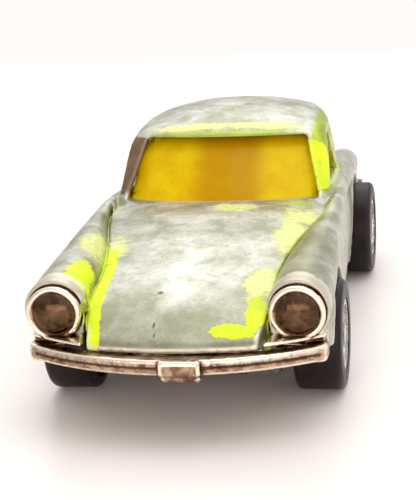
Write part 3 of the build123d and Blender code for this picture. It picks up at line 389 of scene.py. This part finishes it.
# ------------------------------------------------------------------ materials
class Look:
    """A material and short ways to add nodes to it. Positions are millimetres on the object at rest."""

    def __init__(self, name):
        self.material = bpy.data.materials.new(name)
        self.material.use_nodes = True
        self.nodes = self.material.node_tree.nodes
        self.links = self.material.node_tree.links
        self.shader = self.nodes["Principled BSDF"]
        place = self.nodes.new("ShaderNodeTexCoord").outputs["Object"]
        self.place = self.vector("MULTIPLY", place, (1 / MM,) * 3)
        split = self.nodes.new("ShaderNodeSeparateXYZ")
        self.links.new(self.place, split.inputs[0])
        self.x, self.y, self.z = split.outputs
        self.side = self.math("ABSOLUTE", self.x)

    def put(self, value, socket):
        if isinstance(value, bpy.types.NodeSocket):
            self.links.new(value, socket)
        elif socket.type == "RGBA" and len(value) == 3:
            socket.default_value = (*value, 1)
        else:
            socket.default_value = value

    def vector(self, operation, a, b=None):
        node = self.nodes.new("ShaderNodeVectorMath")
        node.operation = operation
        self.put(a, node.inputs[0])
        if b is not None:
            self.put(b, node.inputs[1])
        return node.outputs["Value" if operation in ("LENGTH", "DISTANCE") else "Vector"]

    def math(self, operation, a, b=None, c=None):
        node = self.nodes.new("ShaderNodeMath")
        node.operation = operation
        for value, socket in zip((a, b, c), node.inputs):
            if value is not None:
                self.put(value, socket)
        return node.outputs[0]

    def step(self, value, low, high, bottom=0.0, top=1.0):
        """A smooth step of value from bottom at low to top at high."""
        node = self.nodes.new("ShaderNodeMapRange")
        node.interpolation_type = "SMOOTHSTEP"
        names = ("Value", "From Min", "From Max", "To Min", "To Max")
        for name, item in zip(names, (value, low, high, bottom, top)):
            self.put(item, node.inputs[name])
        return node.outputs[0]

    def noise(self, size, detail=4.0, roughness=0.6, stretch=(1, 1, 1), warp=0.0):
        """Noise from 0 to 1 with features of about size millimetres."""
        node = self.nodes.new("ShaderNodeTexNoise")
        place = self.place if stretch == (1, 1, 1) else self.vector("MULTIPLY", self.place, stretch)
        self.put(place, node.inputs["Vector"])
        node.inputs["Scale"].default_value = 1 / size
        node.inputs["Detail"].default_value = detail
        node.inputs["Roughness"].default_value = roughness
        node.inputs["Distortion"].default_value = warp
        return node.outputs["Fac"]

    def mix(self, factor, a, b):
        node = self.nodes.new("ShaderNodeMix")
        node.data_type = "RGBA"
        self.put(factor, node.inputs["Factor"])
        self.put(a, node.inputs[6])
        self.put(b, node.inputs[7])
        return node.outputs[2]

    def mix_value(self, factor, a, b):
        return self.math("ADD", a, self.math("MULTIPLY", factor, self.math("SUBTRACT", b, a)))

    def blob(self, middle, radii, soft=0.5):
        """1 inside an ellipsoid, fading out over the share soft of its size."""
        away = self.vector("SUBTRACT", self.place, middle)
        away = self.vector("MULTIPLY", away, tuple(1 / r for r in radii))
        return self.step(self.vector("LENGTH", away), 1 - soft, 1 + soft, 1.0, 0.0)

    def either(self, *masks):
        total = masks[0]
        for mask in masks[1:]:
            total = self.math("MAXIMUM", total, mask)
        return total

    def bend(self):
        """How strongly the surface bends: over zero on edges, under zero in hollows."""
        node = self.nodes.new("ShaderNodeAttribute")
        node.attribute_name = "bend"
        return node.outputs["Fac"]

    def bump(self, height, strength, distance):
        node = self.nodes.new("ShaderNodeBump")
        node.inputs["Strength"].default_value = strength
        node.inputs["Distance"].default_value = distance * MM
        self.put(height, node.inputs["Height"])
        self.put(node.outputs[0], self.shader.inputs["Normal"])

    def set(self, **values):
        for name, value in values.items():
            self.put(value, self.shader.inputs[name.replace("_", " ")])

    def give(self, *objects):
        for obj in objects:
            obj.data.materials.clear()
            obj.data.materials.append(self.material)


def srgb(red, green, blue):
    """A colour given from 0 to 255, as the renderer's linear values."""
    parts = [v / 255 for v in (red, green, blue)]
    return tuple(v / 12.92 if v <= 0.04045 else ((v + 0.055) / 1.055) ** 2.4 for v in parts)


ZINC_LIGHT = srgb(202, 204, 195)
ZINC_DARK = srgb(150, 153, 134)
ZINC_OLIVE = srgb(132, 132, 100)
LIME = srgb(232, 250, 0)
LIME_DEEP = srgb(204, 230, 0)
LIME_PALE = srgb(240, 250, 140)
# lime darkened as painted shade, for grooves and hollows
SHADED_LIME = srgb(96, 104, 6)
BRONZE = srgb(150, 112, 78)
BRONZE_DARK = srgb(58, 34, 14)


def paint_shell(obj):
    """Bare cast zinc with what is left of the lime enamel, mostly in hollows and along the bonnet's edges;
    with painted shade in the hollows, slots and over a fender, and a painted highlight on the bonnet.
    """
    data = obj.data
    count = len(data.vertices)
    places = np.empty(count * 3)
    data.vertices.foreach_get("co", places)
    places = places.reshape(-1, 3) / MM
    crease = data.attributes.new("crease", "FLOAT", "POINT")
    crease.data.foreach_set("value", (np.abs(places[:, 0]) - bonnet_x(places[:, 1])).astype(np.float32))

    look = Look("worn_zinc")
    bend = look.bend()
    node = look.nodes.new("ShaderNodeAttribute")
    node.attribute_name = "crease"
    edge = node.outputs["Fac"]  # distance outside the bonnet's crease
    coarse = look.noise(3.6, 6, 0.68, warp=0.25)
    fine = look.noise(0.7, 5, 0.7)
    ragged = look.math("MULTIPLY", look.math("SUBTRACT", look.noise(1.5, 8, 0.75, warp=0.4), 0.5), 2.6)

    def patch(*masks, spread=0.12):
        """Ragged edge for the largest of some soft masks."""
        grown = look.math("ADD", look.either(*masks), ragged)
        return look.step(grown, 0.5 - spread, 0.5 + spread)

    def times(*values):
        total = values[0]
        for value in values[1:]:
            total = look.math("MULTIPLY", total, value)
        return total

    on_right_of_car = look.step(look.x, 0.3, -0.3)
    on_left_of_car = look.step(look.x, -0.3, 0.3)
    below_windows = look.step(look.z, 15.6, 15.2)
    ahead_of_screen = look.step(look.y, -3.0, -4.0)
    # zinc, stained and scuffed, and darker and more olive towards the nose
    zinc = look.mix(look.step(coarse, 0.35, 0.68), ZINC_DARK, ZINC_LIGHT)
    zinc = look.mix(look.math("MULTIPLY", look.step(fine, 0.5, 0.75), 0.35), zinc, srgb(120, 122, 104))
    low_front = look.step(look.y, -24.0, -33.0)
    zinc = look.mix(look.math("MULTIPLY", low_front, 0.55), zinc, ZINC_OLIVE)
    # enamel
    strip = times(look.step(edge, -1.6, -1.1), look.step(edge, 0.2, -0.05), on_right_of_car,
                  look.step(look.y, -15.5, -18.0), look.step(look.y, -33.3, -32.4), below_windows)
    corner = look.either(
        look.blob((5.6, -31.6, 9.9), (2.1, 0.9, 1.6), 0.4),
        look.blob((7.5, -29.2, 11.0), (0.95, 3.0, 2.0), 0.3),
    )
    fender = look.blob((-10.0, -26.4, 13.6), (1.35, 3.3, 1.9), 0.45)
    pillar = times(on_left_of_car, look.step(look.z, 15.4, 15.9), look.step(look.z, 20.9, 20.4),
                   look.step(look.y, 3.4, 2.6), look.step(look.side, 8.7, 8.9))
    lime = patch(strip, corner, fender, pillar, spread=0.07)
    pale = patch(
        look.blob((-9.6, -17.4, 14.2), (2.3, 3.8, 2.2), 0.8),
        look.blob((7.4, -24.6, 12.3), (1.5, 3.6, 1.8), 0.8),
        look.blob((9.0, -13.0, 13.9), (1.5, 4.6, 1.6), 0.8),
        look.blob((9.6, -7.6, 14.5), (2.0, 2.6, 1.4), 0.8),
        look.blob((1.9, -5.6, 15.1), (2.6, 1.6, 0.9), 0.7),
        look.blob((-4.6, 4.3, 21.7), (5.0, 0.9, 0.7), 0.6),
        look.blob((4.2, 4.3, 21.7), (4.2, 0.9, 0.7), 0.6),
        spread=0.3,
    )
    # olive: lime enamel painted darker as shade, in the bonnet's grooves, on the cabin's left side above the
    # waist, at the windscreen's foot, under the roof's front edge and in all hollows
    groove = times(look.step(look.math("ABSOLUTE", edge), 0.55, 0.2), below_windows, ahead_of_screen,
                   look.step(look.y, -31.0, -29.5))
    left_groove = times(groove, on_left_of_car)
    frame_left = times(on_left_of_car, look.step(look.z, 15.0, 15.6), look.step(look.side, 9.2, 9.9))
    header_shade = look.blob((0.0, 3.1, 20.95), (9.9, 1.1, 0.5), 0.4)
    foot = look.blob((9.0, -3.4, 15.0), (2.8, 0.7, 0.55), 0.3)
    olive_paint_and_shade = look.either(left_groove, frame_left, foot, header_shade, times(groove, on_right_of_car, 0.45),
                        times(look.step(bend, -0.1, -0.5), 0.5))
    thin = look.mix(look.step(fine, 0.35, 0.6), LIME_PALE, srgb(214, 226, 150))
    colour = look.mix(look.math("MULTIPLY", pale, 0.85), zinc, thin)
    colour = look.mix(look.math("MULTIPLY", olive_paint_and_shade, 0.85), colour, look.mix(coarse, SHADED_LIME, LIME_DEEP))
    colour = look.mix(lime, colour, look.mix(look.step(coarse, 0.35, 0.7), LIME_DEEP, LIME))
    # painted shade over the left fender's top and a darker wedge on the bonnet, a painted highlight on the
    # bonnet, painted shade in the slots beside the bonnet, and three nicks
    fender_shade_and_wedge = look.either(
        look.blob((11.9, -20.0, 14.4), (1.7, 9.0, 2.2), 0.6),
        look.blob((-6.5, -29.0, 11.0), (0.9, 2.6, 1.8), 0.4),
    )
    colour = look.mix(times(fender_shade_and_wedge, 0.5, look.math("SUBTRACT", 1.0, lime)), colour, srgb(128, 130, 96))
    # painted highlight: lighter zinc on the bonnet's middle
    painted_bonnet_highlight = look.blob((-0.2, -22.5, 13.2), (1.9, 8.0, 2.5), 0.6)
    colour = look.mix(times(painted_bonnet_highlight, 0.4, look.step(coarse, 0.3, 0.6)), colour, srgb(238, 239, 233))
    # painted shade: near black in the slots beside the bonnet
    slot_shade = times(look.step(edge, 0.05, 0.25), look.step(look.side, 10.4, 9.4), look.step(look.z, 12.6, 11.6),
                  look.step(look.y, -28.4, -29.2))
    colour = look.mix(slot_shade, colour, srgb(24, 14, 6))
    nicks = look.either(
        look.blob((-1.8, -31.2, 10.4), (0.13, 0.4, 0.4), 0.3),
        look.blob((-1.6, -32.3, 9.7), (0.12, 0.35, 0.4), 0.3),
        look.blob((-2.0, -26.6, 12.3), (0.3, 0.3, 0.5), 0.3),
    )
    colour = look.mix(times(nicks, 0.8), colour, srgb(84, 74, 56))
    # plated look of the right-hand pillar and of the rims over the lamps
    brown = look.either(
        times(on_right_of_car, look.step(look.z, 15.2, 15.6), look.step(look.z, 21.0, 20.5),
              look.step(look.y, 6.5, 4.5), look.step(look.side, 8.6, 9.2)),
        times(look.step(look.y, -28.3, -29.6), look.step(look.side, 8.9, 9.4), look.step(look.z, 10.5, 11.5)),
    )
    brown = patch(brown, spread=0.3)
    colour = look.mix(look.math("MULTIPLY", brown, 0.92), colour, look.mix(coarse, BRONZE_DARK, BRONZE))
    # chips and rubbed edges
    chips = look.step(look.noise(0.55, 2, 0.5), 0.735, 0.76)
    colour = look.mix(look.math("MULTIPLY", chips, 0.7), colour, srgb(92, 90, 66))
    frames = times(look.step(look.z, 15.4, 15.9), look.step(look.y, 7.0, 5.0))
    rubbed = times(look.step(bend, 0.35, 0.9), look.math("SUBTRACT", 1.0, times(frames, 0.85)))
    colour = look.mix(look.math("MULTIPLY", rubbed, 0.6), colour, srgb(232, 230, 214))
    covered = look.math("MAXIMUM", lime, look.math("MULTIPLY", pale, 0.7))
    metal = look.math("MULTIPLY", look.math("SUBTRACT", 1.0, covered), 0.78)
    rough = look.math("ADD", look.step(coarse, 0.3, 0.7, 0.26, 0.4), look.math("MULTIPLY", fine, 0.14))
    rough = look.mix_value(covered, rough, 0.45)
    look.set(Base_Color=colour, Metallic=metal, Roughness=rough, Specular_IOR_Level=0.35)
    relief = look.math("ADD", look.math("MULTIPLY", coarse, 0.6), look.math("MULTIPLY", fine, 0.4))
    relief = look.math("ADD", relief, look.math("MULTIPLY", look.either(lime, pale), 0.35))
    look.bump(relief, 0.35, 0.35)
    look.give(obj)


def amber_glass(obj):
    """Amber plastic, a third of it seen through and the rest in its own colour, painted deeper in the middle
    as shade of the seats behind it.
    """
    look = Look("amber_clear")
    haze = look.noise(2.5, 4, 0.6)
    colour = look.mix(look.step(haze, 0.35, 0.7), srgb(248, 222, 0), srgb(238, 196, 0))
    # painted shade: deeper amber in the middle, for the seats seen through the glass
    painted_seat_shade = look.math("MULTIPLY", look.step(look.x, -4.6, -1.6), look.step(look.x, 5.6, 2.6))
    colour = look.mix(look.math("MULTIPLY", painted_seat_shade, 0.75), colour, srgb(200, 144, 0))
    look.set(Base_Color=colour, Roughness=look.step(haze, 0.3, 0.8, 0.06, 0.18), Specular_IOR_Level=0.12)
    clear = look.nodes.new("ShaderNodeBsdfTransparent")
    through = look.mix(look.step(haze, 0.3, 0.7), srgb(255, 236, 90), srgb(253, 226, 60))
    look.put(through, clear.inputs["Color"])
    both = look.nodes.new("ShaderNodeMixShader")
    both.inputs[0].default_value = 0.32
    look.links.new(look.shader.outputs[0], both.inputs[1])
    look.links.new(clear.outputs[0], both.inputs[2])
    look.links.new(both.outputs[0], look.nodes["Material Output"].inputs["Surface"])
    look.bump(look.noise(4.0, 2, 0.5), 0.15, 0.2)
    look.give(obj)


def bronze_plating(*objects):
    """Thin plating, rubbed to copper and brown, with painted shade in its hollows."""
    look = Look("rubbed_plating")
    coarse = look.noise(1.6, 5, 0.65, warp=0.5)
    fine = look.noise(0.35, 4, 0.6)
    colour = look.mix(look.step(coarse, 0.35, 0.65), srgb(104, 66, 44), srgb(190, 164, 138))
    bend = look.bend()
    # painted shade in the plating's hollows; lighter rubbed edges
    colour = look.mix(look.math("MULTIPLY", look.step(bend, 0.0, -0.6), 0.85), colour, BRONZE_DARK)
    colour = look.mix(look.step(bend, 0.25, 0.8), colour, srgb(244, 232, 214))
    away = look.vector("SUBTRACT", look.place, (0, LAMP_Y, 0))
    split = look.nodes.new("ShaderNodeSeparateXYZ")
    look.put(away, split.inputs[0])
    r2 = look.math("ADD", look.math("POWER", look.math("SUBTRACT", look.side, LAMP_X), 2.0),
                   look.math("POWER", look.math("SUBTRACT", look.z, LAMP_Z), 2.0))
    lens = look.step(r2, 4.6, 3.6)
    lens_colour = look.mix(look.step(coarse, 0.25, 0.75), srgb(58, 40, 24), srgb(112, 88, 66))
    colour = look.mix(lens, colour, lens_colour)
    look.set(Base_Color=colour, Metallic=1.0, Roughness=look.step(coarse, 0.3, 0.8, 0.16, 0.34))
    relief = look.math("ADD", look.math("MULTIPLY", coarse, 0.7), look.math("MULTIPLY", fine, 0.3))
    off_lens = look.math("SUBTRACT", 1.0, look.math("MULTIPLY", lens, 0.85))
    look.bump(look.math("MULTIPLY", relief, off_lens), 0.3, 0.25)
    look.give(*objects)


def moulded_plastic(name, dark, light, rough, metal, size, *objects, relief=0.12):
    """A moulded or stamped surface with a mottled tone, some dust and a fine grain."""
    look = Look(name)
    coarse = look.noise(size, 5, 0.6, warp=0.4)
    fine = look.noise(size / 5, 3, 0.6)
    tone = look.math("ADD", look.math("MULTIPLY", coarse, 0.7), look.math("MULTIPLY", fine, 0.3))
    look.set(Base_Color=look.mix(look.step(tone, 0.35, 0.65), dark, light), Metallic=metal,
             Roughness=look.step(tone, 0.3, 0.7, rough, rough + 0.18))
    look.bump(look.math("ADD", coarse, look.math("MULTIPLY", fine, 0.5)), relief * 2, relief)
    look.give(*objects)
    return look


nodes = frame["nodes"]


def with_slot(slot):
    return [nodes[part["node"]] for part in frame["record"]["subparts"] if part["material_slot"] == slot]


paint_shell(shell)
amber_glass(glazing)
bronze_plating(plated, nodes["rear_bumper"])
moulded_plastic("tyre_black", srgb(12, 4, 7), srgb(34, 18, 24), 0.34, 0.0, 1.6, *with_slot("wheel")).set(
    Specular_IOR_Level=0.3
)
moulded_plastic("disc_plating", srgb(190, 190, 188), srgb(240, 238, 232), 0.1, 1.0, 0.9, *with_slot("disc"))
moulded_plastic("axle_steel", srgb(120, 118, 114), srgb(180, 178, 172), 0.25, 1.0, 1.2, *with_slot("steel"))
moulded_plastic("rivet_zinc", srgb(110, 110, 104), srgb(190, 188, 180), 0.3, 1.0, 0.8, *with_slot("rivet"))
moulded_plastic("base_casting", srgb(70, 66, 62), srgb(132, 128, 120), 0.38, 0.85, 2.2, *with_slot("base"))
tray = with_slot("interior")
moulded_plastic("tray_plastic", srgb(240, 206, 60), srgb(252, 232, 130), 0.4, 0.0, 2.0, *tray)
moulded_plastic("motor_plastic", srgb(196, 192, 180), srgb(226, 224, 214), 0.4, 0.0, 2.0, *with_slot("motor"))
moulded_plastic("gear_plastic", srgb(216, 210, 190), srgb(238, 234, 220), 0.35, 0.0, 1.5, *with_slot("gear"))
moulded_plastic("blued_spring", srgb(40, 46, 70), srgb(96, 98, 110), 0.25, 1.0, 1.0, *with_slot("spring"))


# ------------------------------------------------------------------ stage, light and camera
def make_floor():
    data = bpy.data.meshes.new("floor")
    data.from_pydata([(-0.9, -0.6, 0), (0.9, -0.6, 0), (0.9, 0.19, 0), (-0.9, 0.19, 0)], [], [(0, 1, 2, 3)])
    floor = bpy.data.objects.new("floor", data)
    bpy.context.scene.collection.objects.link(floor)
    look = Look("white_paper")
    grain = look.noise(12.0, 3, 0.5)
    look.set(Base_Color=look.mix(grain, srgb(248, 243, 240), srgb(251, 247, 245)),
             Roughness=look.step(grain, 0.3, 0.7, 0.32, 0.38))
    look.give(floor)


def make_world():
    """A light tent: brighter overhead, behind the car and on its left, dimmer in front of it."""
    world = bpy.data.worlds.new("studio")
    bpy.context.scene.world = world
    world.use_nodes = True
    tree = world.node_tree
    split = tree.nodes.new("ShaderNodeSeparateXYZ")
    tree.links.new(tree.nodes.new("ShaderNodeTexCoord").outputs["Generated"], split.inputs[0])

    def step(socket, low, high, bottom, top):
        node = tree.nodes.new("ShaderNodeMapRange")
        node.interpolation_type = "SMOOTHSTEP"
        tree.links.new(socket, node.inputs["Value"])
        for name, value in (("From Min", low), ("From Max", high), ("To Min", bottom), ("To Max", top)):
            node.inputs[name].default_value = value
        return node.outputs[0]

    def join(operation, a, b):
        node = tree.nodes.new("ShaderNodeMath")
        node.operation = operation
        tree.links.new(a, node.inputs[0])
        tree.links.new(b, node.inputs[1])
        return node.outputs[0]

    below = step(split.outputs["Z"], -0.02, -0.08, 0.0, 1.0)
    left = step(split.outputs["X"], 0.1, 0.9, 0.0, 0.4)
    behind = step(split.outputs["Y"], -0.7, 0.6, 0.5, 0.8)
    above = step(split.outputs["Z"], 0.2, 0.9, 0.0, 0.3)
    room = join("ADD", left, join("ADD", behind, above))
    background = tree.nodes["Background"]
    background.inputs["Color"].default_value = (1.0, 0.965, 0.94, 1)
    tree.links.new(join("MAXIMUM", below, room), background.inputs["Strength"])


def area_light(name, place, target, size, power, colour=(1, 1, 1)):
    data = bpy.data.lights.new(name, "AREA")
    data.shape = "RECTANGLE"
    data.size, data.size_y = size
    data.energy = power
    data.color = colour
    obj = bpy.data.objects.new(name, data)
    bpy.context.scene.collection.objects.link(obj)
    obj.location = place
    obj.rotation_euler = (Vector(target) - Vector(place)).to_track_quat("-Z", "Y").to_euler()
    return obj


def make_camera():
    yaw, pitch, roll = (math.radians(v) for v in (10.9, 16.26, -3.54))
    forward = Vector((-math.sin(yaw) * math.cos(pitch), math.cos(yaw) * math.cos(pitch), -math.sin(pitch)))
    right = Vector((math.cos(yaw), math.sin(yaw), 0))
    up = right.cross(forward)
    right, up = right * math.cos(roll) + up * math.sin(roll), up * math.cos(roll) - right * math.sin(roll)
    data = bpy.data.cameras.new("camera")
    data.lens = 108.9
    data.sensor_width = 36
    data.clip_start = 0.005
    camera = bpy.data.objects.new("camera", data)
    bpy.context.scene.collection.objects.link(camera)
    turn = Matrix((right, up, -forward)).transposed().to_4x4()
    camera.matrix_world = Matrix.Translation(Vector((0.0287, -0.1608, 0.0562))) @ turn
    bpy.context.scene.camera = camera


make_floor()
make_world()
area_light("back_softbox", (-0.04, 0.30, 0.30), (0, -0.01, 0.01), (0.30, 0.16), 0.32, (1.0, 0.99, 0.97))
area_light("top_softbox", (0.06, 0.04, 0.42), (0, 0, 0.01), (0.3, 0.3), 0.45)
area_light("front_fill", (0.02, -0.34, 0.08), (0, -0.03, 0), (0.5, 0.12), 0.5, (1.0, 0.8, 0.73))
make_camera()
bpy.context.scene.view_settings.view_transform = "Standard"
